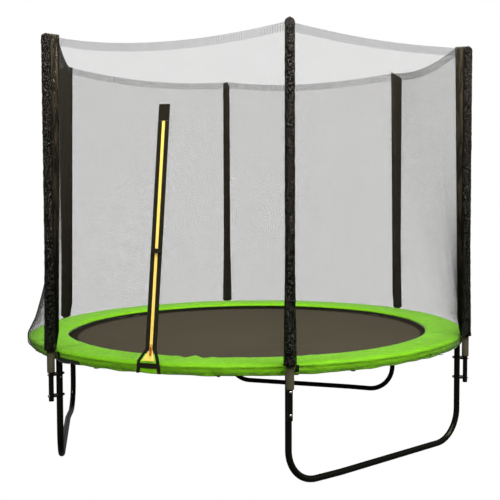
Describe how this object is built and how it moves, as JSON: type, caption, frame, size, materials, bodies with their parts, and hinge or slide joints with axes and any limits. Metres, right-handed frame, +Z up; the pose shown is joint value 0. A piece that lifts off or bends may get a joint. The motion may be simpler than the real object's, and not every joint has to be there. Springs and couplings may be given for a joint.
{
  "type": "trampoline",
  "caption": "Round garden trampoline with U-shaped steel legs, a sprung woven mat, a green spring pad and a zipped safety net on foam-covered poles.",
  "frame": {"origin": "on the floor, at the ring's centre", "axes": "+Z up; one net pole stands at -Y, the others follow every 60 degrees"},
  "size_m": [2.4847, 2.5756, 2.15],
  "materials": {
    "frame_steel": "gloss black powder coat",
    "grey_foam": "matte closed-cell foam",
    "sleeve_fabric": "crinkled coated cloth with a slight shine",
    "black_plastic": "moulded plastic",
    "bright_steel": "zinc plated",
    "spring_steel": "zinc plated wire",
    "mat_weave": "dark woven polypropylene",
    "black_webbing": "woven webbing",
    "green_pad": "bright green coated cloth over foam",
    "grey_mesh": "fine open mesh",
    "grey_hem": "folded mesh band",
    "yellow_tape": "woven zip tape",
    "pull_tab": "orange-brown lacquer"
  },
  "bodies": {
    "frame": {"rail_1": "frame_steel", "rail_2": "frame_steel", "rail_3": "frame_steel", "rail_4": "frame_steel", "rail_5": "frame_steel", "rail_6": "frame_steel", "leg_upright_1": "frame_steel", "leg_upright_2": "frame_steel", "leg_upright_3": "frame_steel", "leg_upright_4": "frame_steel", "leg_upright_5": "frame_steel", "leg_upright_6": "frame_steel", "leg_base_1": "frame_steel", "leg_base_2": "frame_steel", "leg_base_3": "frame_steel", "leg_base_4": "frame_steel", "leg_base_5": "frame_steel", "leg_base_6": "frame_steel", "pole_lower_1": "frame_steel", "pole_lower_2": "frame_steel", "pole_lower_3": "frame_steel", "pole_lower_4": "frame_steel", "pole_lower_5": "frame_steel", "pole_lower_6": "frame_steel", "pole_upper_1": "frame_steel", "pole_upper_2": "frame_steel", "pole_upper_3": "frame_steel", "pole_upper_4": "frame_steel", "pole_upper_5": "frame_steel", "pole_upper_6": "frame_steel", "foam_tube_1": "grey_foam", "foam_tube_2": "grey_foam", "foam_tube_3": "grey_foam", "foam_tube_4": "grey_foam", "foam_tube_5": "grey_foam", "foam_tube_6": "grey_foam", "pole_sleeve_1": "sleeve_fabric", "pole_sleeve_2": "sleeve_fabric", "pole_sleeve_3": "sleeve_fabric", "pole_sleeve_4": "sleeve_fabric", "pole_sleeve_5": "sleeve_fabric", "pole_sleeve_6": "sleeve_fabric", "pole_caps": "black_plastic", "clamp_bolts": "bright_steel", "clamp_spacers": "black_plastic", "joint_screws": "bright_steel", "springs": "spring_steel", "spring_pad": "green_pad", "pad_ties": "black_webbing", "net": "grey_mesh", "net_hem": "grey_hem", "net_lower_hem": "black_webbing", "zip_border": "black_webbing", "zip_tape": "yellow_tape"},
    "mat": {"mat": "mat_weave", "mat_hem": "black_webbing", "v_rings": "spring_steel"},
    "zip_slider": {"zip_slider": "bright_steel"},
    "zip_pull": {"zip_pull": "pull_tab"}
  },
  "joints": [
    {"name": "mat_bounce", "type": "slide", "parent": "frame", "child": "mat", "axis": [0, 0, -1], "range_m": [0, 0.1], "stiffness_N_per_m": 5000, "springref_m": -0.01, "deforming": ["springs"]},
    {"name": "zip_slide", "type": "slide", "parent": "frame", "child": "zip_slider", "axis": [0.0677, 0.1173, 0.9908], "range_m": [0, 1.04]},
    {"name": "pull_swing", "type": "hinge", "parent": "zip_slider", "child": "zip_pull", "pos_m": [-0.61867, -1.07158, 0.65913], "axis": [-0.866, 0.5, 0], "range_deg": [0, 150]}
  ]
}
